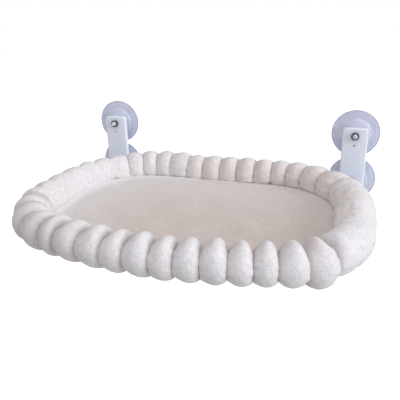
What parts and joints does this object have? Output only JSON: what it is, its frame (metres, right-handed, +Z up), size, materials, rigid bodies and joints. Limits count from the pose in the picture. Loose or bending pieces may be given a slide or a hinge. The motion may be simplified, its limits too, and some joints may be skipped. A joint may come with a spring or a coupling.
{
  "type": "window mounted cat perch",
  "caption": "Padded pet bed with a lobed plush bolster on a tube frame that folds up on brackets held to a window by suction cups.",
  "frame": {"origin": "on the window glass, in the middle of the four suction cups", "axes": "+X along the window to the right as seen from the room, +Y out through the glass, +Z up; the bed lies towards -Y"},
  "size_m": [0.5494, 0.4268, 0.171],
  "materials": {
    "powder_coated_steel": "white powder coat with a faint blue cast, semi-gloss",
    "clear_pvc": "translucent soft PVC, lavender grey, glossy",
    "zinc_steel": "zinc plated steel",
    "stop_rubber": "moulded rubber, matt",
    "moulded_nylon": "glass filled nylon, fine moulded grain",
    "bush_acetal": "turned acetal, natural",
    "coated_tube": "white powder coated steel tube",
    "plywood": "sanded birch plywood, unpainted",
    "cover_cloth": "plain woven polyester cloth",
    "floor_plush": "short dense plush, warm greige",
    "bolster_plush": "soft short pile plush, off white"
  },
  "bodies": {
    "window_mount": {"left_bracket": "powder_coated_steel", "right_bracket": "powder_coated_steel", "upper_left_cup": "clear_pvc", "lower_left_cup": "clear_pvc", "upper_right_cup": "clear_pvc", "lower_right_cup": "clear_pvc", "upper_left_stud": "zinc_steel", "lower_left_stud": "zinc_steel", "upper_right_stud": "zinc_steel", "lower_right_stud": "zinc_steel", "cup_washers": "zinc_steel", "cup_nuts": "zinc_steel", "left_stop_bumper": "stop_rubber", "right_stop_bumper": "stop_rubber", "left_hinge_pin": "zinc_steel", "right_hinge_pin": "zinc_steel", "hinge_pin_nuts": "zinc_steel"},
    "perch": {"left_hinge_arm": "moulded_nylon", "right_hinge_arm": "moulded_nylon", "left_hinge_bushes": "bush_acetal", "right_hinge_bushes": "bush_acetal", "left_frame_tube": "coated_tube", "right_frame_tube": "coated_tube", "front_joint_sleeve": "moulded_nylon", "rear_cross_tube": "coated_tube", "frame_screws": "zinc_steel", "saddle_blocks": "moulded_nylon", "saddle_caps": "moulded_nylon", "saddle_screws": "zinc_steel", "board_tee_nuts": "zinc_steel", "base_board": "plywood", "bottom_panel": "cover_cloth", "bed_pad": "floor_plush", "bolster": "bolster_plush"}
  },
  "joints": [
    {"name": "fold_up", "type": "hinge", "parent": "window_mount", "child": "perch", "pos_m": [0, -0.06598, -0.046], "axis": [-1, 0, 0], "range_deg": [0, 80]}
  ]
}
